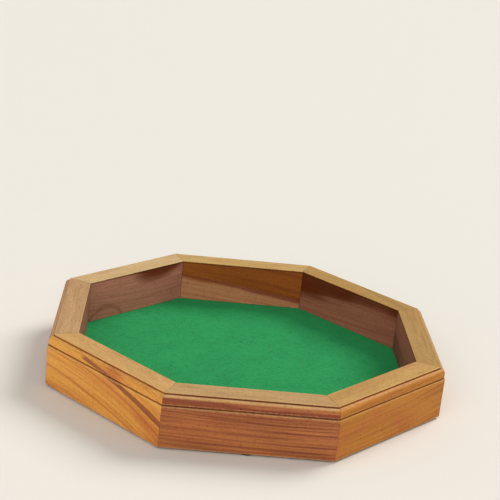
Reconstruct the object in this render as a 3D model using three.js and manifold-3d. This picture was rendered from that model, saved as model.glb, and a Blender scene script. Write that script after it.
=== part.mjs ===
// Octagonal wooden dice tray, 12 inches across its flats, in millimetres with +Z up.
// Eight mitred staves with a moulded top edge stand round a felt-lined plywood base.
// A loose tongue keys each mitre, panel pins hold the base in its rabbet, and the tray
// stands on four felt pads. The origin is the centre of the tray on the table top.

import * as THREE from "three";
import { mergeVertices } from "three/addons/utils/BufferGeometryUtils.js";
import Module from "manifold-3d";

const wasm = await Module();
wasm.setup();

// Driving dimensions of the frame
const acrossFlats = 304.8;
const staveThickness = 22.2;
const staveHeight = 41;
const glueLine = 0.1;

// Moulded top edge of a stave: a step, an ovolo, a flat fascia and a quirk under it
const stepHeight = 1.5;
const ovoloRadius = 3.5;
const fasciaSetBack = 0.7;
const mouldingHeight = 8.2;
const quirkHeight = 0.8;
const quirkDepth = 0.7;
const ledgeChamfer = 0.25;
const arrisRadius = 0.6;

// Rabbet in the foot of a stave, and the base that it holds
const rabbetDepth = 8;
const panelThickness = 3.6;
const liningThickness = 1.2;
const panelRecess = 0.5;
const panelClearance = 0.3;

// Loose tongue in each mitre, let in from below and stopped short of the rim
const tongueThickness = 3;
const tongueWidth = 12;
const tongueHeight = 27;
const tongueInset = 9;
const tongueChamfer = 1.5;
const tongueClearance = 0.2;

// Panel pins
const pinLength = 15;
const pinRadius = 0.65;
const pinHeadRadius = 1.3;
const pinHeadThickness = 0.6;
const pinPointLength = 1.8;
const pinTipRadius = 0.12;
const pinClearance = 0.15;
const pinSpacing = 62;

// Felt foot pads
const padRadius = 6;
const padThickness = 1.5;
const padChamfer = 0.3;
const padGlue = 0.1;

// One overrun serves every cut
const cutOverrun = 1;

// Counts
const sides = 8;
const pinsPerStave = 2;
const arrisSegments = 3;
const ovoloSegments = 8;
const pinSegments = 12;
const padSegments = 40;
const padEvery = 2;

// Angles
const fullTurn = 2 * Math.PI;
const quarterTurn = fullTurn / 4;
const sector = fullTurn / sides;
const halfSector = sector / 2;

// Sizes that follow from the ones above. An apothem is measured from the tray's axis
// square to a side.
const outerApothem = acrossFlats / 2;
const innerApothem = outerApothem - staveThickness;
const fasciaApothem = outerApothem - fasciaSetBack;
const rimApothem = fasciaApothem - ovoloRadius;
const quirkApothem = fasciaApothem - quirkDepth;
const rabbetApothem = innerApothem + rabbetDepth;
const panelApothem = rabbetApothem - panelClearance;
const staveFoot = padThickness + padGlue;
const rimTop = staveFoot + staveHeight;
const panelFoot = staveFoot + panelRecess;
const liningFoot = panelFoot + panelThickness + glueLine;
const liningTop = liningFoot + liningThickness;
const shoulder = liningTop + glueLine;
const tongueRadius = (outerApothem - tongueInset) / Math.cos(halfSector);
const pinApothem = innerApothem + rabbetDepth / 2;
const padApothem = (rabbetApothem + outerApothem) / 2;

// Names of the sides, anticlockwise seen from above, from the one that faces +X
const sideNames = [
  "right", "back_right", "back", "back_left", "left", "front_left", "front", "front_right",
];

// Finishes. The boards differ in tone as the real ones do.
function finish(name, color, roughness, metalness = 0) {
  const material = new THREE.MeshStandardMaterial({ color, roughness, metalness });
  material.name = name;
  return material;
}

const goldenBoard = finish("golden_board", 0xc38446, 0.45);
const russetBoard = finish("russet_board", 0x9a5c3a, 0.45);
const amberBoard = finish("amber_board", 0xb47339, 0.45);
const beech = finish("beech_tongue", 0xd9b98a, 0.6);
const plywood = finish("plywood_panel", 0xcfae7c, 0.65);
const greenFelt = finish("green_felt", 0x2f8f55, 0.95);
const darkFelt = finish("dark_pad_felt", 0x3b2f28, 0.95);
const steel = finish("pin_steel", 0xb9bbc0, 0.35, 1);

const boards = [
  amberBoard, russetBoard, russetBoard, goldenBoard, amberBoard, goldenBoard, russetBoard, amberBoard,
];

// Closed mesh to solid, and back to a flat-shaded geometry
function toSolid(geometry) {
  const bare = geometry.index ? geometry.toNonIndexed() : geometry.clone();
  bare.deleteAttribute("normal");
  bare.deleteAttribute("uv");
  const merged = mergeVertices(bare);
  return new wasm.Manifold(
    new wasm.Mesh({
      numProp: 3,
      vertProperties: merged.attributes.position.array,
      triVerts: new Uint32Array(merged.index.array),
    }),
  );
}

function toGeometry(solid) {
  const mesh = solid.getMesh();
  const geometry = new THREE.BufferGeometry();
  geometry.setAttribute("position", new THREE.BufferAttribute(mesh.vertProperties, mesh.numProp));
  geometry.setIndex(new THREE.BufferAttribute(mesh.triVerts, 1));
  const flat = geometry.toNonIndexed();
  flat.computeVertexNormals();
  return flat;
}

function cut(geometry, cutters) {
  const body = toSolid(geometry);
  return toGeometry(cutters.reduce((solid, cutter) => solid.subtract(toSolid(cutter)), body));
}

// Straight extrusion of a shape along +Z, from the height given
function prism(shape, height, foot) {
  const geometry = new THREE.ExtrudeGeometry(shape, { depth: height, bevelEnabled: false });
  return geometry.translate(0, 0, foot);
}

// Regular polygon with one side for each stave, from its apothem
function polygon(apothem) {
  const radius = apothem / Math.cos(halfSector);
  const corners = Array.from({ length: sides }, (_, side) => {
    const angle = side * sector + halfSector;
    return new THREE.Vector2(radius * Math.cos(angle), radius * Math.sin(angle));
  });
  return new THREE.Shape(corners);
}

// Cross-section of a stave: x is the distance from the tray's axis, y is the height.
// It runs anticlockwise from the shoulder of the rabbet, under the felt's edge.
function staveProfile() {
  const fasciaFoot = rimTop - mouldingHeight;
  const ledge = fasciaFoot - quirkHeight;
  const ovoloFoot = rimTop - stepHeight - ovoloRadius;
  const shape = new THREE.Shape();
  shape.moveTo(innerApothem, shoulder);
  shape.lineTo(rabbetApothem, shoulder);
  shape.lineTo(rabbetApothem, staveFoot);
  shape.lineTo(outerApothem - arrisRadius, staveFoot);
  addArc(shape, outerApothem - arrisRadius, staveFoot + arrisRadius, arrisRadius, -quarterTurn, 0);
  shape.lineTo(outerApothem, ledge - ledgeChamfer);
  shape.lineTo(outerApothem - ledgeChamfer, ledge);
  shape.lineTo(quirkApothem, ledge);
  shape.lineTo(quirkApothem, fasciaFoot);
  shape.lineTo(fasciaApothem, fasciaFoot);
  addArc(shape, rimApothem, ovoloFoot, ovoloRadius, 0, quarterTurn, ovoloSegments);
  shape.lineTo(rimApothem, rimTop);
  const eased = innerApothem + arrisRadius;
  addArc(shape, eased, rimTop - arrisRadius, arrisRadius, quarterTurn, 2 * quarterTurn);
  return shape;
}

// Arc drawn as chords, so that each joins its neighbours at the same points everywhere
function addArc(shape, x, y, radius, from, to, segments = arrisSegments) {
  for (let step = 0; step <= segments; step++) {
    const angle = from + ((to - from) * step) / segments;
    shape.lineTo(x + radius * Math.cos(angle), y + radius * Math.sin(angle));
  }
}

// The profile is run along the stave, and both ends are sheared to the mitre
function mitredStave() {
  const profile = staveProfile();
  const geometry = new THREE.ExtrudeGeometry(profile, { depth: acrossFlats, bevelEnabled: false });
  geometry.translate(0, 0, -acrossFlats / 2);
  geometry.rotateX(quarterTurn);
  const setBack = glueLine / 2 / Math.cos(halfSector);
  const position = geometry.attributes.position;
  for (let i = 0; i < position.count; i++) {
    const halfLength = position.getX(i) * Math.tan(halfSector) - setBack;
    position.setY(i, Math.sign(position.getY(i)) * halfLength);
  }
  return geometry;
}

// Tongue blank seen along the corner's radius, grown by the clearance for its slot
function tongueBlank(clearance, foot) {
  const half = tongueWidth / 2 + clearance;
  const top = staveFoot + tongueHeight + clearance;
  const outline = new THREE.Shape([
    new THREE.Vector2(-half, foot),
    new THREE.Vector2(half, foot),
    new THREE.Vector2(half, top - tongueChamfer),
    new THREE.Vector2(half - tongueChamfer, top),
    new THREE.Vector2(tongueChamfer - half, top),
    new THREE.Vector2(-half, top - tongueChamfer),
  ]);
  const thickness = tongueThickness + 2 * clearance;
  const geometry = new THREE.ExtrudeGeometry(outline, { depth: thickness, bevelEnabled: false });
  geometry.translate(0, 0, -thickness / 2);
  geometry.rotateX(quarterTurn);
  geometry.rotateZ(quarterTurn);
  return geometry.translate(tongueRadius, 0, 0);
}

// Offsets of the pins along a stave
function pinOffsets() {
  const middle = (pinsPerStave - 1) / 2;
  return Array.from({ length: pinsPerStave }, (_, pin) => (pin - middle) * pinSpacing);
}

// Round hole for a pin's shank, or for its head, at a place along the stave
function pinHole(radius, foot, top, offset) {
  const height = top - foot;
  const geometry = new THREE.CylinderGeometry(radius, radius, height, pinSegments);
  geometry.rotateX(quarterTurn);
  return geometry.translate(pinApothem, offset, foot + height / 2);
}

function shankHole(offset) {
  const top = panelFoot + pinLength + pinClearance;
  return pinHole(pinRadius + pinClearance, panelFoot - cutOverrun, top, offset);
}

function headHole(offset) {
  const top = panelFoot + pinHeadThickness + pinClearance;
  return pinHole(pinHeadRadius + pinClearance, panelFoot - cutOverrun, top, offset);
}

// The holes of every stave, each turned to its own side
function aroundTheTray(makeHole) {
  return sideNames.flatMap((_, side) =>
    pinOffsets().map((offset) => makeHole(offset).rotateZ(side * sector)),
  );
}

function staveGeometry() {
  const slot = () => tongueBlank(tongueClearance, staveFoot - cutOverrun);
  return cut(mitredStave(), [
    slot().rotateZ(halfSector),
    slot().rotateZ(-halfSector),
    ...pinOffsets().map(shankHole),
  ]);
}

function panelGeometry() {
  const blank = prism(polygon(panelApothem), panelThickness, panelFoot);
  return cut(blank, [...aroundTheTray(shankHole), ...aroundTheTray(headHole)]);
}

function liningGeometry() {
  const blank = prism(polygon(panelApothem), liningThickness, liningFoot);
  return cut(blank, aroundTheTray(shankHole));
}

// Panel pin, head down, turned about its own axis
function pinGeometry() {
  const profile = [
    [0, 0],
    [pinHeadRadius, 0],
    [pinHeadRadius, pinHeadThickness],
    [pinRadius, pinHeadThickness],
    [pinRadius, pinLength - pinPointLength],
    [pinTipRadius, pinLength],
    [0, pinLength],
  ].map(([radius, height]) => new THREE.Vector2(radius, height));
  const geometry = new THREE.LatheGeometry(profile, pinSegments);
  return geometry.rotateX(quarterTurn);
}

// Felt pad with an eased lower edge
function padGeometry() {
  const profile = [
    [0, 0],
    [padRadius - padChamfer, 0],
    [padRadius, padChamfer],
    [padRadius, padThickness],
    [0, padThickness],
  ].map(([radius, height]) => new THREE.Vector2(radius, height));
  const geometry = new THREE.LatheGeometry(profile, padSegments);
  return geometry.rotateX(quarterTurn);
}

function piece(name, geometry, material) {
  const mesh = new THREE.Mesh(geometry, material);
  mesh.name = name;
  return mesh;
}

// One side of the tray as a group, turned to its place: its stave, its pins, the tongue
// in the mitre after it and, on every second side, its pad
function addSide(tray, side, shared) {
  const name = sideNames[side];
  const next = sideNames[(side + 1) % sides];
  const group = new THREE.Group();
  group.rotation.z = side * sector;
  group.add(piece(`stave_${name}`, shared.stave, boards[side]));
  pinOffsets().forEach((offset, pin) => {
    const mesh = piece(`panel_pin_${name}_${pin + 1}`, shared.pin, steel);
    mesh.position.set(pinApothem, offset, panelFoot);
    group.add(mesh);
  });
  const tongue = piece(`tongue_${name}_to_${next}`, shared.tongue, beech);
  tongue.rotation.z = halfSector;
  group.add(tongue);
  if (side % padEvery === 0) {
    const pad = piece(`foot_pad_${name}`, shared.pad, darkFelt);
    pad.position.x = padApothem;
    group.add(pad);
  }
  tray.add(group);
}

function diceTray() {
  const tray = new THREE.Group();
  tray.name = "dice_tray";
  const shared = {
    stave: staveGeometry(),
    tongue: tongueBlank(0, staveFoot),
    pin: pinGeometry(),
    pad: padGeometry(),
  };
  sideNames.forEach((_, side) => addSide(tray, side, shared));
  tray.add(piece("base_panel", panelGeometry(), plywood));
  tray.add(piece("felt_lining", liningGeometry(), greenFelt));
  return tray;
}

export default diceTray();
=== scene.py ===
"""Octagonal wooden dice tray: eight moulded boards mitred round a floor of green felt.

The file is laid out as an add-on. Each operator makes one piece or group of like pieces
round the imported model, in metres, in the model's own frame.
"""

import math
from types import SimpleNamespace
from typing import NamedTuple

import bpy
from mathutils import Matrix, Vector, noise


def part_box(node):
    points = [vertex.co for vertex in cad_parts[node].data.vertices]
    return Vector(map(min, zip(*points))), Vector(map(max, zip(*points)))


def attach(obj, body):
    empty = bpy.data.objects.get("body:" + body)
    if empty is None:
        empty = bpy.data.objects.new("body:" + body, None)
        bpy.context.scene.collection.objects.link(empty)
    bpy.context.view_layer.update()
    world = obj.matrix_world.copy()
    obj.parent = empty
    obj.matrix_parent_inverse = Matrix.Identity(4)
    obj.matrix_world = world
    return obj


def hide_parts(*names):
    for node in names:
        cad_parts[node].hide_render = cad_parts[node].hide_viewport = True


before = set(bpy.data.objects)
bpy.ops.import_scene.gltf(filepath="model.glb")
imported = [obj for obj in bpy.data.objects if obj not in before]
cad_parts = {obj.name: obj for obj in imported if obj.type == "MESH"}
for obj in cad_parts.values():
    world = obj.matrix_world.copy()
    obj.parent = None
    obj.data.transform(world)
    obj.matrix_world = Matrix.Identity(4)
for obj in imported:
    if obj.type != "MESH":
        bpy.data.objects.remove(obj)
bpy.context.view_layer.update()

bl_info = {
    "name": "Wooden dice tray",
    "version": (1, 0, 0),
    "blender": (4, 5, 0),
    "location": "3D View > Sidebar > Dice tray",
    "description": "Builds the boards, felt, base, pins and pads of an octagonal dice tray",
    "category": "Object",
}

MM = 0.001

# Places of the pieces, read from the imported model. The front board faces -Y.
front_low, front_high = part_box("stave_front")
lining_low, lining_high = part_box("felt_lining")
pad_low, pad_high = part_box("foot_pad_right")
pin_low, pin_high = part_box("panel_pin_right_1")
tongue_low, tongue_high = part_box("tongue_right_to_back_right")
OUTER = -front_low.y
INNER = -front_high.y
FOOT = front_low.z
RIM = front_high.z
PAD_APOTHEM = (pad_low.x + pad_high.x) / 2
PIN_APOTHEM = (pin_low.x + pin_high.x) / 2
PIN_SPACING = abs(pin_low.y + pin_high.y)

SIDES = 8
SECTOR = 2 * math.pi / SIDES
HALF_SECTOR = SECTOR / 2
MITRE = math.tan(HALF_SECTOR)

# Joints cut in a board from below
SLOT_THICKNESS = 3.4 * MM
SLOT_WIDTH = 12.4 * MM
SLOT_CLEARANCE = 0.2 * MM
HOLE_RADIUS = 0.8 * MM
HOLE_CLEARANCE = 0.15 * MM
RABBET_CLEARANCE = 0.3 * MM
OVERRUN = 1 * MM


# Colours
def linear(red, green, blue):
    """Display colour, 0 to 255, as the linear colour that a shader takes."""
    def channel(value):
        share = value / 255
        return share / 12.92 if share <= 0.04045 else ((share + 0.055) / 1.055) ** 2.4
    return channel(red), channel(green), channel(blue)


def tinted(colour, strength):
    """Linear colour made paler or darker."""
    return [min(1, channel * strength) for channel in colour]


class Fade(NamedTuple):
    """Second colour of a board's inner face, from a depth down. A metre down, it never shows."""
    depth: float = 1
    softness: float = 1 * MM
    middle: float = 0
    bow: float = 0
    colour: tuple = (0, 0, 0)


class Streak(NamedTuple):
    """Dark band of heartwood, and how strongly the outer and the inner faces show it."""
    depth: float = 1
    width: float = 1 * MM
    taper: float = 0
    softness: float = 1 * MM
    start: float = -1
    middle: float = 0
    bow: float = 0
    outside: float = 0
    inside: float = 0


class Board(NamedTuple):
    """Looks of one board, in its own measures.

    The grain runs along the board on a line with a slope and a bend. Depths are in
    metres below the rim, from that line. A fade or a streak may bow about a middle of its
    own. Colours are display colours. Ovolo highlight is a painted highlight on the top of
    the ovolo: how much of the rim's colour it takes, and how much paler.
    """
    name: str
    tone: str
    rim: tuple
    inside: tuple
    run: tuple = (0, 0)
    shift: float = 0
    spacing: float = 5 * MM
    figure: float = 0.75
    blush: float = 0.4
    ovolo_highlight: tuple = (0.9, 1.1)
    fade: Fade = Fade()
    streak: Streak = Streak()


# Anticlockwise seen from above, from the side that faces +X
BOARDS = (
    Board("right", "amber", (182, 144, 80), (172, 104, 86), run=(0.03, 0.2), shift=1.3,
          figure=0.9, blush=0.6,
          fade=Fade(depth=20 * MM, softness=24 * MM, colour=(137, 86, 77))),
    Board("back_right", "russet", (184, 146, 76), (100, 39, 6), run=(-0.07, 0), shift=2.1,
          spacing=3.4 * MM,
          fade=Fade(depth=16.5 * MM, softness=24 * MM, colour=(166, 108, 86))),
    Board("back", "russet", (204, 170, 102), (154, 82, 22), run=(0.148, -0.23), shift=3.7,
          spacing=6 * MM,
          fade=Fade(depth=22.8 * MM, softness=5.5 * MM, colour=(198, 136, 97)),
          streak=Streak(depth=20.4 * MM, width=3.6 * MM, taper=-5, softness=2.4 * MM,
                        outside=0.3, inside=0.7)),
    Board("back_left", "golden", (212, 182, 130), (126, 54, 24), run=(0.03, 1), shift=4.4,
          spacing=6 * MM,
          fade=Fade(depth=9.5 * MM, softness=11 * MM, middle=-24 * MM, bow=9,
                    colour=(208, 138, 118)),
          streak=Streak(depth=26 * MM, width=4.4 * MM, softness=4 * MM, middle=33 * MM,
                        bow=-36, inside=0.65)),
    Board("left", "amber", (196, 158, 112), (166, 104, 84), run=(0.04, -0.3), shift=5.2,
          figure=0.9, blush=0.5,
          fade=Fade(depth=24 * MM, softness=16 * MM, colour=(150, 94, 76))),
    Board("front_left", "golden", (212, 170, 106), (176, 120, 74), run=(-0.18, -1.3), shift=6.1,
          spacing=8 * MM, figure=0.85, blush=0.85, ovolo_highlight=(0.35, 1.1),
          streak=Streak(depth=7.5 * MM, width=3.6 * MM, taper=6, start=-27 * MM,
                        outside=0.74, inside=0.2)),
    Board("front", "russet", (198, 163, 110), (160, 100, 62), run=(-0.02, 0.3), shift=7.5,
          spacing=3 * MM, figure=0.9, blush=0.3, ovolo_highlight=(0.8, 1.35),
          streak=Streak(depth=7.2 * MM, width=4 * MM, softness=2.4 * MM,
                        outside=0.75, inside=0.3)),
    Board("front_right", "amber", (203, 162, 92), (166, 108, 66), run=(0.05, 0.4), shift=8.3,
          spacing=6 * MM, figure=0.8, blush=0.5, ovolo_highlight=(0.25, 1)),
)


# Settings that a user would change
def length(name, description, default):
    return bpy.props.FloatProperty(
        name=name, description=description, default=default, unit="LENGTH")


def tint(name, description, *display):
    return bpy.props.FloatVectorProperty(
        name=name, description=description, subtype="COLOR", size=3, min=0, max=1,
        default=linear(*display))


def turn(name, description, degrees):
    return bpy.props.FloatProperty(
        name=name, description=description, default=math.radians(degrees), subtype="ANGLE")


class DiceTrayMoulding(bpy.types.PropertyGroup):
    """Sizes of the moulded top edge."""
    step: length("Step", "Drop from the rim to the ovolo", 1.5 * MM)
    ovolo: length("Ovolo", "Radius of the quarter round", 3.5 * MM)
    set_back: length("Set back", "From the wall's face back to the fascia's", 0.7 * MM)
    depth: length("Depth", "From the rim down to the quirk", 8.2 * MM)
    quirk_height: length("Quirk height", "Width of the groove under the fascia", 0.8 * MM)
    quirk_depth: length("Quirk depth", "Depth of the groove behind the fascia", 0.7 * MM)
    arris: length("Arris", "Radius of the sanded edges", 0.6 * MM)
    fine_arris: length("Fine arris", "Radius of the edges inside the moulding", 0.3 * MM)
    mitre_ease: length("Mitre ease", "Chamfer where two boards meet", 0.12 * MM)
    glue_line: length("Glue line", "Gap between two boards", 0.1 * MM)

    def lines(self):
        """Places of the fascia, of the ovolo's upper edge and of the quirk's two edges."""
        fascia = OUTER - self.set_back
        quirk_top = RIM - self.depth
        return {"fascia": fascia, "shoulder": fascia - self.ovolo,
                "quirk_top": quirk_top, "quirk_foot": quirk_top - self.quirk_height}


class DiceTrayColours(bpy.types.PropertyGroup):
    """Colours of the boards, the felt and the small parts."""
    golden: tint("Golden board", "Pale wood of the golden boards", 229, 165, 76)
    golden_dark: tint("Golden grain", "Dark grain of the golden boards", 183, 97, 38)
    amber: tint("Amber board", "Pale wood of the amber boards", 198, 130, 44)
    amber_dark: tint("Amber grain", "Dark grain of the amber boards", 152, 80, 24)
    russet: tint("Russet board", "Pale wood of the russet boards", 180, 112, 62)
    russet_dark: tint("Russet grain", "Dark grain of the russet boards", 108, 44, 34)
    blush: tint("Blush", "Reddish patches in any board", 184, 90, 52)
    heartwood: tint("Heartwood", "Dark streak in a board", 130, 60, 42)
    felt: tint("Felt", "Main colour of the felt", 42, 162, 92)
    felt_dark: tint("Felt shade", "Dark flecks of the felt", 26, 112, 62)
    pad: tint("Pad felt", "Colour of the foot pads", 62, 48, 40)
    plywood: tint("Plywood", "Face veneer of the base", 214, 184, 138)
    plywood_dark: tint("Plywood grain", "Grain of the face veneer", 184, 146, 98)
    beech: tint("Beech", "Wood of the tongues", 222, 190, 146)
    beech_dark: tint("Beech flecks", "Flecks in the tongues", 186, 142, 96)
    steel: tint("Steel", "Pins", 176, 178, 182)
    floor: tint("Floor", "Studio floor", 232, 229, 222)


class DiceTrayFelt(bpy.types.PropertyGroup):
    """Felt lining and its nap."""
    relief: length("Relief", "Unevenness of the felt's top", 0.12 * MM)
    grid: length("Grid", "Spacing of the felt's mesh", 2.4 * MM)
    fibres: bpy.props.IntProperty(
        name="Fibres", description="Loose fibres that lie on the felt", default=6500)
    fibre_length: length("Fibre length", "Length of one loose fibre", 3.2 * MM)
    fibre_width: length("Fibre width", "Thickness of one loose fibre", 0.07 * MM)
    fibre_lift: length("Fibre lift", "Height of a loose fibre's arch", 0.25 * MM)


class DiceTrayCamera(bpy.types.PropertyGroup):
    """Camera at the photograph's viewing angle."""
    place: bpy.props.FloatVectorProperty(
        name="Place", description="Camera's place", size=3, subtype="TRANSLATION",
        unit="LENGTH", default=(-0.0676, -1.0113, 0.4445))
    azimuth: turn("Azimuth", "Turn of the view to the right of +Y", 3.60)
    down: turn("Down", "Tilt of the view below the horizon", 18.65)
    roll: turn("Roll", "Turn about the line of sight", 6.30)
    focal_share: bpy.props.FloatProperty(
        name="Focal share", description="Focal length over the picture's width",
        default=2.7066)


# Node trees
def socket_name(key):
    """Name of the socket that a keyword stands for: ring_spacing is Ring Spacing."""
    return key.replace("_", " ").title()


def arithmetic(operation, order=1):
    """Method of a Number that adds a Math node. At order -1 its values change places."""
    def apply(*values):
        return values[0].wiring.math(operation, *values[::order])
    return apply


class Number:
    """Number in a node tree. Arithmetic on it adds Math nodes."""
    __add__ = __radd__ = arithmetic("ADD")
    __sub__ = arithmetic("SUBTRACT")
    __rsub__ = arithmetic("SUBTRACT", -1)
    __mul__ = arithmetic("MULTIPLY")
    __truediv__ = arithmetic("DIVIDE")
    __rtruediv__ = arithmetic("DIVIDE", -1)
    __abs__ = arithmetic("ABSOLUTE")

    def __init__(self, wiring, socket):
        self.wiring = wiring
        self.socket = socket


class Wiring:
    """Short calls for building a node tree."""

    def __init__(self, tree):
        self.tree = tree

    def inputs(self, **values):
        """Makes a group's inputs from their defaults, or kinds where they have none."""
        for key, value in values.items():
            kind = {int: "Int", float: "Float"}.get(type(value), value)
            made = self.tree.interface.new_socket(
                socket_name(key), in_out="INPUT", socket_type=f"NodeSocket{kind}")
            if kind != value:
                made.default_value = value
        return self.named(self.tree.nodes.new("NodeGroupInput").outputs)

    def outputs(self, **values):
        """Makes a group's outputs, and feeds them."""
        for key, value in values.items():
            kind = "Float" if isinstance(value, Number) else value.type.title()
            self.tree.interface.new_socket(
                socket_name(key), in_out="OUTPUT", socket_type="NodeSocket" + kind)
        self.put(self.tree.nodes.new("NodeGroupOutput").inputs, **values)

    def named(self, sockets):
        """Sockets as attributes, in lower case. Those that carry numbers are Numbers."""
        return SimpleNamespace(**{
            socket.name.lower().replace(" ", "_"):
                Number(self, socket) if socket.type in ("VALUE", "INT") else socket
            for socket in sockets})

    def add(self, kind, *values, settings=(), **named):
        """New node. Its settings come first, then its inputs, in order or by keyword."""
        node = self.tree.nodes.new(kind)
        for key, value in dict(settings).items():
            setattr(node, key, value)
        for socket, value in zip(node.inputs, values):
            self.feed(socket, value)
        self.put(node.inputs, **named)
        return node

    def feed(self, socket, value):
        """Links a socket, or sets it. A colour gets full alpha."""
        if isinstance(value, Number):
            value = value.socket
        if isinstance(value, bpy.types.NodeSocket):
            self.tree.links.new(value, socket)
        else:
            socket.default_value = (*value, 1) if socket.type == "RGBA" else value

    def put(self, sockets, **values):
        """Feeds sockets by keyword."""
        for key, value in values.items():
            self.feed(sockets[socket_name(key)], value)

    def number(self, kind, *values, **named):
        """First output of a new node, as a Number."""
        return Number(self, self.add(kind, *values, **named).outputs[0])

    def math(self, operation, *values):
        return self.number("ShaderNodeMath", *values, settings={"operation": operation})

    def vector(self, operation, *values, output="Vector", **named):
        node = self.add(
            "ShaderNodeVectorMath", *values, settings={"operation": operation}, **named)
        return node.outputs[output]

    def magnitude(self, vector):
        return Number(self, self.vector("LENGTH", vector, output="Value"))

    def scale(self, vector, factor):
        return self.vector("SCALE", vector, scale=factor)

    def parts(self, vector):
        return [Number(self, part) for part in self.add("ShaderNodeSeparateXYZ", vector).outputs]

    def join(self, x, y, z):
        return self.add("ShaderNodeCombineXYZ", x, y, z).outputs[0]

    def by_identifier(self, kind, inputs, output, **settings):
        """Output of a node whose sockets share names, so that identifiers pick them."""
        node = self.add(kind, settings=settings)
        sockets = {socket.identifier: socket for socket in (*node.inputs, *node.outputs)}
        for key, value in inputs.items():
            self.feed(sockets[key], value)
        return sockets[output]


class Shading(Wiring):
    """Short calls for building a shader tree."""

    def rise(self, value, low, high):
        """0 below low, 1 above high, with a soft curve between."""
        return self.number(
            "ShaderNodeMapRange", value, from_min=low, from_max=high,
            settings={"interpolation_type": "SMOOTHSTEP"})

    def fall(self, value, low, high):
        """1 below low, 0 above high."""
        return 1 - self.rise(value, low, high)

    def noise(self, vector, detail=2.0, roughness=0.5):
        """Noise from 0 to 1 with one cell to a unit."""
        return self.number(
            "ShaderNodeTexNoise", vector, scale=1.0, detail=detail, roughness=roughness)

    def wander(self, vector):
        """Noise vector about zero."""
        node = self.add("ShaderNodeTexNoise", vector, scale=1.0, detail=1.0)
        return self.vector("SUBTRACT", node.outputs["Color"], (0.5, 0.5, 0.5))

    def stretch(self, vector, x, y, z):
        return self.vector("MULTIPLY", vector, (x, y, z))

    def turned(self, vector, angle, scale=(1, 1, 1)):
        """Vector scaled and then turned about Z."""
        node = self.add("ShaderNodeMapping", vector, rotation=(0, 0, angle), scale=scale)
        return node.outputs[0]

    def mix(self, share, first, second, blend="MIX"):
        return self.by_identifier(
            "ShaderNodeMix", {"Factor_Float": share, "A_Color": first, "B_Color": second},
            "Result_Color", data_type="RGBA", blend_type=blend)

    def darken(self, share, colour, shade):
        """Colour times a shade, as far as share."""
        return self.mix(share, colour, shade, "MULTIPLY")

    def ramp(self, value, *stops):
        node = self.add("ShaderNodeValToRGB", value)
        marks = node.color_ramp.elements
        while len(marks) < len(stops):
            marks.new(0.5)
        for mark, (place, level) in zip(marks, stops):
            mark.position = place
            mark.color = (level, level, level, 1)
        return Number(self, node.outputs[0])

    def group(self, name, **values):
        """Outputs of a placed group, as attributes."""
        node = self.add("ShaderNodeGroup")
        node.node_tree = bpy.data.node_groups[name]
        self.put(node.inputs, **values)
        return self.named(node.outputs)

    def largest(self, first, *others):
        for other in others:
            first = self.math("MAXIMUM", first, other)
        return first

    def limited(self, value):
        return self.number("ShaderNodeClamp", value)


def shader_group(name, **inputs):
    w = Shading(bpy.data.node_groups.new(name, "ShaderNodeTree"))
    return w, w.inputs(**inputs)


def build_run_group():
    """Place in a board's grain: across the board, along it, and up from the grain's line."""
    w, given = shader_group(
        "Grain run", place="Vector", middle=(INNER + OUTER) / 2, level=RIM, slope=0.0,
        bend=0.0, shift=0.0)
    across, along, height = w.parts(given.place)
    line = given.slope * along + given.bend * along * along
    depth = given.level - height + line
    place = w.join(across - given.middle, along + given.shift, 0 - depth)
    w.outputs(grain_place=place, along=along, depth=depth)


def build_grain_group():
    """Growth rings, streaks, fibres, pores and patches of wood whose grain runs along Y."""
    w, given = shader_group(
        "Wood grain", place="Vector", pith="Vector", ring_spacing=4 * MM, waviness=6 * MM,
        pores=0.5)

    def drawn(across, along):
        """Place with so many cells to a metre across the grain and along it."""
        return w.stretch(given.place, across, along, across)

    bow = w.scale(w.wander(drawn(22, 5)), given.waviness)
    ripple = w.scale(w.wander(drawn(170, 30)), 1.4 * MM)
    from_pith = w.vector("SUBTRACT", given.place, given.pith)
    from_pith = w.vector("ADD", from_pith, w.vector("ADD", bow, ripple))
    radius = w.magnitude(w.stretch(from_pith, 1, 0, 1))
    uneven = w.noise(w.join(radius * 110, 0.5, 0.5), 0)
    count = radius / given.ring_spacing + uneven * 2.2
    late = w.ramp(w.math("FRACT", count), (0, 0.0), (0.5, 0.3), (0.88, 1), (1, 0.0))
    strength = w.number(
        "ShaderNodeTexWhiteNoise", w=w.math("FLOOR", count),
        settings={"noise_dimensions": "1D"})
    rings = late * (strength * 0.8 + 0.2)
    fibres = w.noise(drawn(1500, 45), 3, 0.6)
    pores = w.rise(w.noise(drawn(2600, 320), 0), 0.64, 0.74) * given.pores
    w.outputs(
        rings=rings,
        streaks=w.rise(w.noise(drawn(420, 11), 2, 0.55), 0.36, 0.66),
        fibres=w.rise(fibres, 0.32, 0.68),
        pores=pores,
        clouds=w.rise(w.noise(drawn(26, 9), 2), 0.3, 0.7),
        patches=w.rise(w.noise(drawn(34, 15), 3), 0.5, 0.72),
        height=fibres * 0.9 - pores * 1.1 - rings * 0.2)


def build_streak_group():
    """Band that follows the grain at a depth, wider towards one end."""
    w, given = shader_group(
        "Heartwood streak", place="Vector", along=0.0, depth=0.0, centre=10 * MM,
        width=4 * MM, taper=0.0, start=-1.0, softness=1 * MM)
    loose = (w.noise(w.stretch(given.place, 160, 34, 160), 3) - 0.5) * given.softness * 2.4
    half = w.math("MAXIMUM", given.width * (given.taper * given.along + 1), 0) / 2
    soft = given.softness / 2
    distance = abs(given.depth - given.centre + loose)
    shown = w.fall(distance, half - soft, half + soft) * w.rise(half, 0, given.softness)
    w.outputs(streak=shown * w.rise(given.along, given.start, given.start + 7 * MM))


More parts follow.
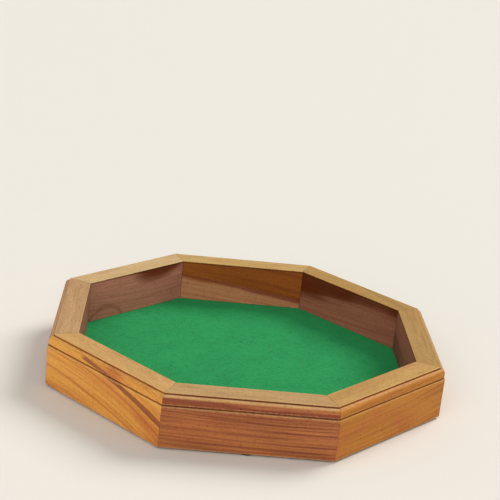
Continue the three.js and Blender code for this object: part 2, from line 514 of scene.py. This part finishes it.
def build_section_group():
    """Masks of a board's own section, in its turned place."""
    w, given = shader_group(
        "Board section", place="Vector", rim=RIM, inner=INNER, outer=OUTER, foot=FOOT,
        fascia=OUTER, shoulder=INNER, step=1 * MM, quirk_top=RIM, quirk_foot=FOOT, wear=1 * MM)
    across, along, height = w.parts(given.place)
    below = given.rim - height
    rough = (w.noise(w.scale(given.place, 420), 3) - 0.5) * 1.6

    def over(value, edge, low, high):
        """Rises from 0 to 1 between low and high millimetres past the edge."""
        return w.rise(value, edge + low * MM, edge + high * MM)

    def under(value, edge, low, high):
        """Falls from 1 to 0 there."""
        return 1 - over(value, edge, low, high)

    def arris(x, z, reach=1.0):
        """1 on the edge at x and z, fading out over the wear."""
        gap = w.magnitude(w.join(across - x, 0, height - z)) / given.wear
        return w.fall(gap / reach + rough, 0.35, 1.0)

    inside = under(across, given.inner, 0.1, 0.5) * over(below, 0, 0.2, 0.7)
    w.outputs(
        rim=under(below, 0, 0.25, 0.6),
        # Top of the ovolo, which takes a painted highlight
        ovolo=over(across, given.shoulder, 0.1, 0.35) * under(below, given.step, 0.4, 1.9),
        inside=inside,
        # Edges lighter: partly wear, partly a painted highlight where they catch the light
        worn=w.largest(arris(given.inner, given.rim), arris(given.shoulder, given.rim),
                       arris(given.fascia, given.quirk_top), arris(given.outer, given.foot)),
        # Painted highlight, with some wear, on the outer edge under the quirk
        ledge=arris(given.outer, given.quirk_foot, 1.7),
        # Painted shade in the corner under the rim's step
        cove=(under(abs(across - given.shoulder), 0, 0.15, 0.45) * over(below, 0, 0.3, 0.7)
              * under(below, given.step, 0.1, 0.5)),
        # Painted shade in the quirk's groove
        quirk=(over(height, given.quirk_foot, -0.15, 0.1)
               * under(height, given.quirk_top, 0.15, 0.6)
               * over(across, given.fascia, -1.6, -1.2)),
        mitre=under(across * MITRE - abs(along), 0, 0.1, 0.6),
        shade=inside * under(below, 0, 0.9, 2.4),
        underside=under(height, given.foot, 0.1, 0.5))


def build_felt_group():
    """Pressed wool: flecks, fine fibres and slow changes of tone."""
    w, given = shader_group("Pressed felt", place="Vector", fibre_size=1 * MM)
    place = w.scale(given.place, 1 / given.fibre_size)
    bent = w.vector("ADD", place, w.scale(w.wander(w.scale(place, 0.35)), 3))
    # The fibres lie three ways
    laid = [w.turned(bent, angle, (0.64, 4, 4)) for angle in (0.3, 1.4, 2.5)]
    fibres = w.largest(*(w.noise(lay, 1) for lay in laid))
    flecks = w.noise(w.scale(place, 1.1), 4, 0.65)
    w.outputs(
        flecks=w.rise(flecks, 0.3, 0.7),
        fibres=w.rise(fibres, 0.5, 0.78),
        clouds=w.rise(w.noise(w.scale(place, 0.05), 3), 0.3, 0.7),
        height=fibres * 0.6 + flecks * 0.5)


# Materials
class Finish(Shading):
    """New material: one shader, and the wiring that feeds it."""

    def __init__(self, name, metallic=0.0, specular=0.5):
        self.material = bpy.data.materials.new(name)
        self.material.use_nodes = True
        self.material.node_tree.nodes.clear()
        super().__init__(self.material.node_tree)
        self.shader = self.add("ShaderNodeBsdfPrincipled", metallic=metallic)
        self.shader.inputs["Specular IOR Level"].default_value = specular
        self.add("ShaderNodeOutputMaterial", self.shader.outputs[0])
        self.place = self.add("ShaderNodeTexCoord").outputs["Object"]

    def done(self, colour, roughness, height, relief, strength):
        """Feeds the shader its colour, roughness and bump. Returns the material."""
        bump = self.add("ShaderNodeBump", height=height, distance=relief, strength=strength)
        self.put(
            self.shader.inputs, base_color=colour, roughness=roughness, normal=bump.outputs[0])
        return self.material


def board_material(side):
    """Lacquered hardwood of one board, with its own figure."""
    board = BOARDS[side]
    fade = board.fade
    colours = bpy.context.scene.dice_tray_colours
    sizes = bpy.context.scene.dice_tray_moulding
    w = Finish("lacquered_board_" + board.name, specular=0.22)
    turned = w.turned(w.place, -side * SECTOR)
    slope, bend = board.run
    run = w.group("Grain run", place=turned, slope=slope, bend=bend, shift=board.shift)
    grain = w.group(
        "Wood grain", place=run.grain_place, pith=(0.05, 0, -0.16),
        ring_spacing=board.spacing, waviness=10 * MM, pores=0.6)

    def bowed(band):
        """Depth from the grain's line, bent further about the band's own middle."""
        off = run.along - band.middle
        return run.depth + off * off * band.bow

    band = board.streak
    streak = w.group(
        "Heartwood streak", place=run.grain_place, along=run.along, depth=bowed(band),
        centre=band.depth, width=band.width, taper=band.taper, start=band.start,
        softness=band.softness).streak
    section = w.group("Board section", place=turned, step=sizes.step, **sizes.lines())

    # Outer faces: figured wood with reddish patches
    figure = w.limited(grain.rings * 0.65 + grain.streaks * 0.55 + grain.clouds * 0.45 - 0.33)
    light = getattr(colours, board.tone)
    dark = getattr(colours, board.tone + "_dark")
    face = w.mix(figure * board.figure, light, dark)
    face = w.mix(grain.patches * board.blush, face, colours.blush)
    # Inner face: its own colour, which fades into a second one lower down
    loose = ((grain.streaks - 0.5) * 0.3 + (grain.clouds - 0.5) * 0.9) * fade.softness
    half = fade.softness / 2
    faded = w.rise(bowed(fade) + loose, fade.depth - half, fade.depth + half)
    wall = w.mix(faded, linear(*board.inside), linear(*fade.colour))
    wall = w.darken(figure * 0.7, wall, (0.6, 0.46, 0.4))
    colour = w.mix(section.inside, face, wall)
    shown = band.outside + section.inside * (band.inside - band.outside)
    colour = w.mix(streak * shown, colour, colours.heartwood)
    # Rim in a paler colour of its own. The top of the ovolo takes the rim's colour, paler still:
    # a painted highlight where the curve turns up to the light
    pale = linear(*board.rim)
    rim = w.darken(figure * 0.8, pale, (0.74, 0.64, 0.54))
    rim = w.mix(grain.patches * (board.blush * 0.35), rim, colours.blush)
    colour = w.mix(section.rim, colour, rim)
    share, strength = board.ovolo_highlight
    ovolo_highlit = w.darken(figure * 0.5, tinted(pale, strength), (0.78, 0.66, 0.56))
    colour = w.mix(section.ovolo * share, colour, ovolo_highlit)
    # Bare underside, fibres, pores, dark glue lines; painted highlights with some wear on the
    # edges and under the quirk; painted shade in the corner under the rim's step, under the rim
    # inside and in the quirk
    colour = w.mix(section.underside * 0.4, colour, tinted(pale, 1.1))
    colour = w.darken(grain.fibres * 0.5, colour, (0.74, 0.62, 0.52))
    # Edges lighter: wear and a painted highlight
    colour = w.mix(section.worn * 0.35, colour, tinted(pale, 1.25))
    # Outer edge under the quirk lighter: painted highlight and wear
    colour = w.mix(section.ledge * 0.35, colour, tinted(pale, 1.1))
    colour = w.darken(grain.pores * 0.8, colour, (0.4, 0.3, 0.22))
    # Painted shade in the corner under the rim's step and under the rim inside, with the dark
    # glue lines of the mitres
    dirt_and_shade = w.largest(section.cove * 0.9, section.mitre * 0.3, section.shade * 0.75)
    colour = w.darken(dirt_and_shade, colour, (0.36, 0.22, 0.12))
    # Painted shade in the quirk's groove
    colour = w.darken(section.quirk, colour, (0.52, 0.33, 0.22))
    roughness = (0.56 - grain.fibres * 0.1 + grain.pores * 0.25
                 + section.inside * 0.1 + section.underside * 0.2)
    return w.done(colour, roughness, grain.height, relief=0.09 * MM, strength=0.8)


def bare_wood_material(name, light, dark, spacing, pores):
    """Bare planed wood with its grain along X."""
    w = Finish(name)
    grain = w.group(
        "Wood grain", place=w.turned(w.place, math.pi / 2), pith=(0.04, 0, -0.05),
        ring_spacing=spacing, waviness=14 * MM, pores=pores)
    figure = w.limited(grain.rings * 0.5 + grain.clouds * 0.3 + grain.streaks * 0.2)
    colour = w.mix(figure * 0.8, light, dark)
    colour = w.darken(grain.fibres * 0.2, colour, (0.8, 0.7, 0.6))
    colour = w.darken(grain.pores * 0.7, colour, (0.45, 0.35, 0.25))
    roughness = 0.72 - grain.fibres * 0.12
    return w.done(colour, roughness, grain.height, relief=0.07 * MM, strength=0.7)


def felt_material(name, main, shade, size, weight=1.0):
    """Short pressed wool felt."""
    w = Finish(name, specular=0.2)
    felt = w.group("Pressed felt", place=w.place, fibre_size=size)
    colour = w.mix(felt.flecks * 0.6 * weight, shade, main)
    colour = w.mix(felt.fibres * 0.5 * weight, colour, tinted(main, 1.5))
    colour = w.mix(felt.clouds * 0.35, colour, main)
    w.put(w.shader.inputs, sheen_weight=0.2, sheen_roughness=0.5, sheen_tint=tinted(main, 1.5))
    return w.done(colour, 0.88 + felt.flecks * 0.1, felt.height, relief=0.35 * MM, strength=0.8)


def steel_material(colour):
    """Bright drawn steel with fine turning marks."""
    w = Finish("drawn_steel", metallic=1.0)
    marks = w.noise(w.stretch(w.place, 9000, 9000, 900))
    spots = w.noise(w.scale(w.place, 1500), 3)
    spotted = w.mix(w.rise(spots, 0.35, 0.7), linear(128, 122, 116), colour)
    return w.done(spotted, 0.25 + spots * 0.3, marks, relief=0.01 * MM, strength=0.6)


def floor_material(colour):
    """Matt studio paper."""
    w = Finish("studio_paper", specular=0.2)
    tone = w.noise(w.scale(w.place, 900), 3)
    paper = w.darken(tone * 0.1, colour, (0.8, 0.79, 0.78))
    return w.done(paper, 0.9, tone, relief=0.03 * MM, strength=0.3)


# Shapes
def polar(radius, angle):
    return Vector((radius * math.cos(angle), radius * math.sin(angle)))


def octagon(apothem):
    """Corners of the octagon whose sides face the boards."""
    radius = apothem / math.cos(HALF_SECTOR)
    return [polar(radius, HALF_SECTOR + side * SECTOR) for side in range(SIDES)]


def rounded_outline(corners, per_turn=48):
    """Closed outline whose corners (x, z, radius) are rounded by arcs."""
    outline = []
    for index, (x, z, radius) in enumerate(corners):
        corner = Vector((x, z))
        before = (Vector(corners[index - 1][:2]) - corner).normalized()
        after = (Vector(corners[(index + 1) % len(corners)][:2]) - corner).normalized()
        opening = before.angle(after)
        centre = corner + (before + after).normalized() * (radius / math.sin(opening / 2))
        start = corner + before * (radius / math.tan(opening / 2)) - centre
        bend = math.pi - opening
        if start.cross(after - before) < 0:
            bend = -bend
        steps = max(2, round(abs(bend) * per_turn / (2 * math.pi)))
        for step in range(steps + 1):
            outline.append(centre + Matrix.Rotation(bend * step / steps, 2) @ start)
    return outline


def board_outline(sizes):
    """Section of a board in x and z, clockwise, from under the felt's edge."""
    fascia, shoulder, quirk_top, quirk_foot = sizes.lines().values()
    quirk = fascia - sizes.quirk_depth
    rabbet = lining_high.x + RABBET_CLEARANCE
    rest = lining_high.z + sizes.glue_line
    fine = sizes.fine_arris
    tight = fine / 2
    # The ovolo's arc ends a little short of the corners beside it
    quarter_round = sizes.ovolo * 0.98
    return rounded_outline([
        (INNER, rest, fine),
        (INNER, RIM, sizes.arris),
        (shoulder, RIM, fine),
        (shoulder, RIM - sizes.step, tight),
        (fascia, RIM - sizes.step, quarter_round),
        (fascia, quirk_top, fine),
        (quirk, quirk_top, tight),
        (quirk, quirk_foot, tight),
        (OUTER, quirk_foot, sizes.arris),
        (OUTER, FOOT, sizes.arris),
        (rabbet, FOOT, fine),
        (rabbet, rest, tight),
    ])


def mesh_object(name, vertices, edges=(), faces=()):
    mesh = bpy.data.meshes.new(name)
    mesh.from_pydata([tuple(v) for v in vertices], edges, faces)
    made = bpy.data.objects.new(name, mesh)
    bpy.context.scene.collection.objects.link(made)
    return made


def revolved(name, profile, turns):
    """Closed solid of revolution about Z from (radius, height) points, axis to axis."""
    vertices = [(0, 0, profile[0][1])]
    for radius, height in profile[1:-1]:
        for step in range(turns):
            vertices.append((*polar(radius, 2 * math.pi * step / turns), height))
    vertices.append((0, 0, profile[-1][1]))
    rings = len(profile) - 2
    faces = []
    for step in range(turns):
        after = (step + 1) % turns
        faces.append((0, 1 + after, 1 + step))
        for ring in range(rings - 1):
            low, high = 1 + ring * turns, 1 + (ring + 1) * turns
            faces.append((low + step, low + after, high + after, high + step))
        last = 1 + (rings - 1) * turns
        faces.append((last + step, last + after, len(vertices) - 1))
    return mesh_object(name, vertices, faces=faces)


def smooth_by_angle(piece, degrees):
    """Smooth faces, with edges sharper than the angle kept sharp."""
    piece.data.shade_smooth()
    piece.data.set_sharp_from_angle(angle=math.radians(degrees))


def dress(piece, material):
    piece.data.materials.clear()
    piece.data.materials.append(material)


def nodes_named(start):
    return [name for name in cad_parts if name.startswith(start)]


# Geometry trees
class Forming(Wiring):
    """Short calls for building a geometry tree."""

    def shape(self, kind, *values, **named):
        """First output of a new geometry node."""
        return self.add("GeometryNode" + kind, *values, **named).outputs[0]

    def random(self, seed, low, high):
        """Random number for each point."""
        return self.by_identifier(
            "FunctionNodeRandomValue", {"Min_001": low, "Max_001": high, "Seed": seed},
            "Value_001", data_type="FLOAT")

    def close(self, geometry, material):
        """Ends the tree with real meshes and their material."""
        real = self.shape("RealizeInstances", geometry)
        self.outputs(geometry=self.shape("SetMaterial", real, material=material))


def geometry_tree(name, **inputs):
    w = Forming(bpy.data.node_groups.new(name, "GeometryNodeTree"))
    return w, w.inputs(geometry="Geometry", **inputs, material="Material")


def run_tree(piece, tree_name, **values):
    """Runs a geometry tree on a piece, and keeps the result as its mesh."""
    tree = bpy.data.node_groups[tree_name]
    modifier = piece.modifiers.new(tree_name, "NODES")
    modifier.node_group = tree
    sockets = {item.name: item.identifier for item in tree.interface.items_tree
               if item.item_type == "SOCKET" and item.in_out == "INPUT"}
    for key, value in values.items():
        modifier[sockets[socket_name(key)]] = value
    bpy.context.view_layer.update()
    evaluated = piece.evaluated_get(bpy.context.evaluated_depsgraph_get())
    made = bpy.data.meshes.new_from_object(evaluated)
    piece.modifiers.remove(modifier)
    old = piece.data
    piece.data = made
    bpy.data.meshes.remove(old)
    made.name = piece.name


def build_board_tree():
    """Sweeps a board's section along it, mitres both ends, and cuts its slots and holes."""
    w, given = geometry_tree(
        "Mitred board", sections=40, set_back=0.0, ease=0.0, turn=0.0, slot_place="Vector",
        slot_size="Vector", hole_place="Vector", hole_radius=0.0, hole_depth=0.0)
    # The section comes in as (x, -z). Its outward direction is kept for easing the mitres.
    section = w.shape("MeshToCurve", given.geometry)
    ahead = w.parts(w.shape("InputTangent"))
    section = w.shape(
        "StoreNamedAttribute", section, name="outward", value=w.join(ahead[1], 0, ahead[0]),
        settings={"data_type": "FLOAT_VECTOR", "domain": "POINT"})
    line = w.shape("CurvePrimitiveLine", start=(0, -1, 0), end=(0, 1, 0))
    spine = w.shape("ResampleCurve", line, count=given.sections)
    swept = w.shape("CurveToMesh", spine, section, fill_caps=True)

    # The section at each end lies an ease past the next one, and is smaller by an ease all
    # round. That chamfers the mitre.
    x, y, z = w.parts(w.shape("InputPosition"))
    reach = abs(y)
    last = w.math("GREATER_THAN", reach, 0.9999)
    spans = given.sections - 1
    even = w.math("MINIMUM", reach * (spans / (spans - 2)), 1)
    half = x * MITRE - given.set_back
    along = w.math("SIGN", y) * (even * (half - given.ease) + last * given.ease)
    outward = w.shape("InputNamedAttribute", "outward", settings={"data_type": "FLOAT_VECTOR"})
    inset = w.scale(outward, last * given.ease * -1)
    place = w.vector("ADD", w.join(x, along, z), inset)
    board = w.shape("SetPosition", swept, position=place)

    # A slot for a tongue at each end and two holes for pins, all cut from below
    cut = w.add(
        "GeometryNodeMeshBoolean", board,
        settings={"operation": "DIFFERENCE", "solver": "EXACT"})
    slot, hole = w.parts(given.slot_place), w.parts(given.hole_place)
    for way in (1, -1):
        block = w.shape("MeshCube", given.slot_size)
        drill = w.shape(
            "MeshCylinder", vertices=20, radius=given.hole_radius, depth=given.hole_depth)
        for cutter, spot, angle in ((block, slot, way * HALF_SECTOR), (drill, hole, 0)):
            place = w.join(spot[0], spot[1] * way, spot[2])
            placed = w.shape("Transform", cutter, translation=place, rotation=(0, 0, angle))
            w.feed(cut.inputs["Mesh 2"], placed)
    bare = w.shape("RemoveAttribute", cut.outputs[0], name="outward")
    turned = w.shape("Transform", bare, rotation=w.join(0, 0, given.turn))
    w.close(turned, given.material)


def build_ring_tree():
    """Sets copies of a small part round the tray: so many sides, so many on each."""
    w, given = geometry_tree(
        "Round the tray", sides=SIDES, per_side=1, apothem=INNER, spacing=0.0, seed=3)
    points = w.shape("Points", given.sides * given.per_side)
    index = Number(w, w.shape("InputIndex"))
    side = w.math("FLOOR", index / given.per_side)
    step = w.math("MODULO", index, given.per_side)
    offset = (step - (given.per_side - 1) / 2) * given.spacing
    spot = w.add("ShaderNodeVectorRotate", w.join(given.apothem, offset, 0), axis=(0, 0, 1),
                 angle=side * (2 * math.pi / given.sides)).outputs[0]
    placed = w.shape("SetPosition", points, position=spot)
    rotation = w.join(0, 0, w.random(given.seed, 0, 2 * math.pi))
    copies = w.shape("InstanceOnPoints", placed, instance=given.geometry, rotation=rotation)
    w.close(copies, given.material)


def build_nap_tree():
    """Strews curved loose fibres over the felt."""
    w, given = geometry_tree(
        "Felt nap", fibres=1000, seed=11, length=3 * MM, width=0.1 * MM, lift=0.1 * MM)
    area = w.add(
        "GeometryNodeAttributeStatistic", given.geometry,
        attribute=w.shape("InputMeshFaceArea"),
        settings={"data_type": "FLOAT", "domain": "FACE"}).outputs["Sum"]
    scatter = w.shape(
        "DistributePointsOnFaces", given.geometry, seed=given.seed,
        density=given.fibres / Number(w, area))
    # One fibre: an arched strand of three sides
    reach = given.length
    strand = w.shape(
        "CurveQuadraticBezier", 3, start=w.join(reach / -2, 0, 0),
        middle=w.join(0, reach / -6, given.lift), end=w.join(reach / 2, reach / 5, 0))
    section = w.shape("CurvePrimitiveCircle", 3, radius=given.width / 2)
    fibre = w.shape("CurveToMesh", strand, section, fill_caps=True)
    turn = w.random(given.seed, 0, 2 * math.pi)
    size = w.random(given.seed + 1, 0.5, 1.3)
    tilt = w.random(given.seed + 2, -0.12, 0.12)
    copies = w.shape(
        "InstanceOnPoints", scatter, instance=fibre, rotation=w.join(tilt, 0, turn),
        scale=w.join(size, size, 1))
    w.close(copies, given.material)


# Operators
class DICETRAY_OT_boards(bpy.types.Operator):
    """Make the eight mitred boards"""
    bl_idname = "dice_tray.boards"
    bl_label = "Boards"

    def execute(self, context):
        sizes = context.scene.dice_tray_moulding
        build_board_tree()
        points = [(point.x, -point.y, 0) for point in board_outline(sizes)]
        edges = [(step, (step + 1) % len(points)) for step in range(len(points))]
        corner = (tongue_low + tongue_high) / 2
        below = FOOT - OVERRUN
        slot_top = tongue_high.z + SLOT_CLEARANCE
        hole_top = pin_high.z + HOLE_CLEARANCE
        for side, board in enumerate(BOARDS):
            piece = mesh_object("board_" + board.name, points, edges)
            run_tree(
                piece, "Mitred board", sections=40, turn=side * SECTOR,
                set_back=sizes.glue_line / 2 / math.cos(HALF_SECTOR), ease=sizes.mitre_ease,
                slot_place=(corner.x, corner.y, (slot_top + below) / 2),
                slot_size=(SLOT_THICKNESS, SLOT_WIDTH, slot_top - below),
                hole_place=(PIN_APOTHEM, PIN_SPACING / 2, (hole_top + below) / 2),
                hole_radius=HOLE_RADIUS, hole_depth=hole_top - below,
                material=board_material(side))
            smooth_by_angle(piece, 32)
            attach(piece, "root")
            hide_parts("stave_" + board.name)
        return {"FINISHED"}


class DICETRAY_OT_tongues(bpy.types.Operator):
    """Finish the beech tongues that key the mitres"""
    bl_idname = "dice_tray.tongues"
    bl_label = "Tongues"

    def execute(self, context):
        colours = context.scene.dice_tray_colours
        beech = bare_wood_material(
            "planed_beech", colours.beech, colours.beech_dark, spacing=2.2 * MM, pores=0.3)
        for name in nodes_named("tongue_"):
            dress(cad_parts[name], beech)
        return {"FINISHED"}


class DICETRAY_OT_base_panel(bpy.types.Operator):
    """Finish the plywood base"""
    bl_idname = "dice_tray.base_panel"
    bl_label = "Base panel"

    def execute(self, context):
        colours = context.scene.dice_tray_colours
        plywood = bare_wood_material(
            "sanded_plywood", colours.plywood, colours.plywood_dark, spacing=7 * MM, pores=0.25)
        dress(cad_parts["base_panel"], plywood)
        return {"FINISHED"}


class DICETRAY_OT_felt_nap(bpy.types.Operator):
    """Strew loose fibres over the felt"""
    bl_idname = "dice_tray.felt_nap"
    bl_label = "Felt nap"

    def execute(self, context):
        felt = context.scene.dice_tray_felt
        green = context.scene.dice_tray_colours.felt
        build_nap_tree()
        corners = [(c.x, c.y, lining_high.z) for c in octagon(INNER - felt.fibre_length)]
        piece = mesh_object("felt_nap", corners, faces=[tuple(range(SIDES))])
        wool = felt_material("loose_wool", green, green, size=2 * MM, weight=0.6)
        run_tree(
            piece, "Felt nap", fibres=felt.fibres, seed=11, length=felt.fibre_length,
            width=felt.fibre_width, lift=felt.fibre_lift, material=wool)
        piece.data.shade_smooth()
        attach(piece, "root")
        return {"FINISHED"}


class DICETRAY_OT_felt_lining(bpy.types.Operator):
    """Lay the green felt on the base"""
    bl_idname = "dice_tray.felt_lining"
    bl_label = "Felt lining"

    def execute(self, context):
        felt = context.scene.dice_tray_felt
        colours = context.scene.dice_tray_colours
        reach = lining_high.x
        piece = self.sheet(felt, reach)
        dress(piece, felt_material(
            "green_wool_felt", colours.felt, colours.felt_dark, size=1.1 * MM))
        smooth_by_angle(piece, 40)
        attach(piece, "root")
        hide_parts("felt_lining")
        return {"FINISHED"}

    def sheet(self, felt, reach):
        """Octagonal sheet with a softly uneven top, flat where the boards trap its edge."""
        rings = round(INNER / felt.grid)
        per_side = round(2 * INNER * MITRE / felt.grid)
        count = per_side * SIDES
        vertices = [(0, 0, self.height(0, 0, 0, felt.relief))]
        for apothem in [INNER * ring / rings for ring in range(1, rings + 1)] + [reach]:
            for x, y in self.ring(apothem, per_side):
                vertices.append((x, y, self.height(x, y, apothem, felt.relief)))
        edge = len(vertices) - count
        vertices += [(x, y, lining_low.z) for x, y in self.ring(reach, per_side)]
        faces = [tuple(range(len(vertices) - 1, len(vertices) - 1 - count, -1))]
        for step in range(count):
            after = (step + 1) % count
            faces.append((0, 1 + step, 1 + after))
            for inner in range(1, edge, count):
                outer = inner + count
                faces.append((inner + step, outer + step, outer + after, inner + after))
            foot = edge + count
            faces.append((edge + step, foot + step, foot + after, edge + after))
        return mesh_object("felt_sheet", vertices, faces=faces)

    def ring(self, apothem, per_side):
        """Points evenly along each side of an octagon."""
        corners = octagon(apothem)
        for index, corner in enumerate(corners):
            after = corners[(index + 1) % SIDES]
            for step in range(per_side):
                yield corner.lerp(after, step / per_side)

    def height(self, x, y, apothem, relief, flat_edge=2 * MM):
        """Height of the top: slow and quick waves, level near the boards and under them."""
        if apothem > INNER - flat_edge:
            return lining_high.z
        slow = noise.noise((x * 60, y * 60, 0.3))
        quick = noise.noise((x * 260, y * 260, 1.7))
        return lining_high.z + relief * (0.6 * slow + 0.4 * quick - 0.5)


class DICETRAY_OT_panel_pins(bpy.types.Operator):
    """Drive the panel pins through the base"""
    bl_idname = "dice_tray.panel_pins"
    bl_label = "Panel pins"

    def execute(self, context):
        foot, tip = pin_low.z, pin_high.z
        head, shank, edge = 1.3 * MM, 0.65 * MM, 0.12 * MM
        dish, neck, point = 0.04 * MM, 0.4 * MM, 1.8 * MM
        seat = foot + 0.6 * MM
        piece = revolved("panel_pins", [
            (0, foot + dish), (head * 0.6, foot), (head - edge, foot), (head, foot + edge),
            (head, seat - edge), (head - edge, seat), (shank * 1.25, seat),
            (shank, seat + neck), (shank, tip - point), (edge, tip), (0, tip)], turns=32)
        steel = steel_material(context.scene.dice_tray_colours.steel)
        run_tree(
            piece, "Round the tray", sides=SIDES, per_side=2, apothem=PIN_APOTHEM,
            spacing=PIN_SPACING, seed=5, material=steel)
        smooth_by_angle(piece, 40)
        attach(piece, "root")
        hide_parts(*nodes_named("panel_pin_"))
        return {"FINISHED"}


class DICETRAY_OT_foot_pads(bpy.types.Operator):
    """Stick the felt pads under the boards"""
    bl_idname = "dice_tray.foot_pads"
    bl_label = "Foot pads"

    def execute(self, context):
        brown = context.scene.dice_tray_colours.pad
        radius = (pad_high.x - pad_low.x) / 2
        foot, top = pad_low.z, pad_high.z
        ease, top_ease, steps = 0.35 * MM, 0.15 * MM, 4
        angles = [math.pi / 2 * step / steps for step in range(steps + 1)]
        arc = [(radius - ease + ease * math.sin(angle), foot + ease - ease * math.cos(angle))
               for angle in angles]
        piece = revolved("foot_pads", [
            (0, foot), (radius / 2, foot), *arc, (radius, top - top_ease),
            (radius - top_ease, top), (0, top)], turns=64)
        pad_felt = felt_material("pad_felt", brown, tinted(brown, 0.5), size=0.5 * MM)
        run_tree(
            piece, "Round the tray", sides=SIDES // 2, per_side=1, apothem=PAD_APOTHEM,
            spacing=0.0, seed=2, material=pad_felt)
        smooth_by_angle(piece, 50)
        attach(piece, "root")
        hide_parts(*nodes_named("foot_pad_"))
        return {"FINISHED"}


class DICETRAY_OT_stage(bpy.types.Operator):
    """Set the floor, the lights and the camera"""
    bl_idname = "dice_tray.stage"
    bl_label = "Stage"

    def execute(self, context):
        scene = context.scene
        reach = 9.0
        corners = [(-reach, -reach, 0), (reach, -reach, 0), (reach, reach, 0), (-reach, reach, 0)]
        floor = mesh_object("studio_floor", corners, faces=[(0, 1, 2, 3)])
        dress(floor, floor_material(scene.dice_tray_colours.floor))
        self.lights(scene)
        self.camera(scene)
        scene.view_settings.view_transform = "Standard"
        return {"FINISHED"}

    def lights(self, scene):
        world = bpy.data.worlds.new("studio")
        world.use_nodes = True
        background = world.node_tree.nodes["Background"]
        background.inputs["Color"].default_value = (1, 0.985, 0.96, 1)
        background.inputs["Strength"].default_value = 0.42
        scene.world = world
        # Angles in degrees. The heading is where the light comes from, turned from +X.
        for name, heading, elevation, strength, width, colour in (
            ("window", 42, 41, 2.2, 32, (1, 0.98, 0.94)),
            ("fill", -108, 26, 1.5, 60, (1, 0.97, 0.93)),
        ):
            light = bpy.data.lights.new(name, "SUN")
            light.energy = strength
            light.angle = math.radians(width)
            light.color = colour
            lamp = bpy.data.objects.new(name, light)
            towards = Vector((*polar(1, math.radians(heading)),
                              math.tan(math.radians(elevation))))
            lamp.location = towards
            lamp.rotation_euler = (-towards).to_track_quat("-Z", "Y").to_euler()
            scene.collection.objects.link(lamp)

    def camera(self, scene):
        view = scene.dice_tray_camera
        camera = bpy.data.cameras.new("camera")
        camera.sensor_width = 36
        camera.lens = view.focal_share * camera.sensor_width
        camera.clip_start, camera.clip_end = 0.01, 40
        holder = bpy.data.objects.new("camera", camera)
        ahead = Vector((math.sin(view.azimuth) * math.cos(view.down),
                        math.cos(view.azimuth) * math.cos(view.down), -math.sin(view.down)))
        rolled = ahead.to_track_quat("-Z", "Y").to_matrix() @ Matrix.Rotation(view.roll, 3, "Z")
        holder.matrix_world = Matrix.Translation(view.place) @ rolled.to_4x4()
        scene.collection.objects.link(holder)
        scene.camera = holder


STEPS = (DICETRAY_OT_boards, DICETRAY_OT_tongues, DICETRAY_OT_base_panel,
         DICETRAY_OT_felt_nap, DICETRAY_OT_felt_lining, DICETRAY_OT_panel_pins,
         DICETRAY_OT_foot_pads, DICETRAY_OT_stage)
SETTINGS = {
    "dice_tray_moulding": DiceTrayMoulding,
    "dice_tray_colours": DiceTrayColours,
    "dice_tray_felt": DiceTrayFelt,
    "dice_tray_camera": DiceTrayCamera,
}


class DICETRAY_PT_sidebar(bpy.types.Panel):
    """Lists the pieces of the dice tray"""
    bl_idname = "DICETRAY_PT_sidebar"
    bl_label = "Dice tray"
    bl_space_type = "VIEW_3D"
    bl_region_type = "UI"
    bl_category = "Dice tray"

    def draw(self, context):
        for step in STEPS:
            self.layout.operator(step.bl_idname)
        for name, kind in SETTINGS.items():
            box = self.layout.box()
            for setting in kind.__annotations__:
                box.prop(getattr(context.scene, name), setting)


CLASSES = (*SETTINGS.values(), *STEPS, DICETRAY_PT_sidebar)


def register():
    for cls in CLASSES:
        bpy.utils.register_class(cls)
    for name, kind in SETTINGS.items():
        setattr(bpy.types.Scene, name, bpy.props.PointerProperty(type=kind))


def unregister():
    for name in SETTINGS:
        delattr(bpy.types.Scene, name)
    for cls in reversed(CLASSES):
        bpy.utils.unregister_class(cls)


def main():
    register()
    for build in (build_run_group, build_grain_group, build_streak_group,
                  build_section_group, build_felt_group, build_ring_tree):
        build()
    for step in STEPS:
        group, name = step.bl_idname.split(".")
        getattr(getattr(bpy.ops, group), name)()
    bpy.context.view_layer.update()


if __name__ == "__main__":
    main()
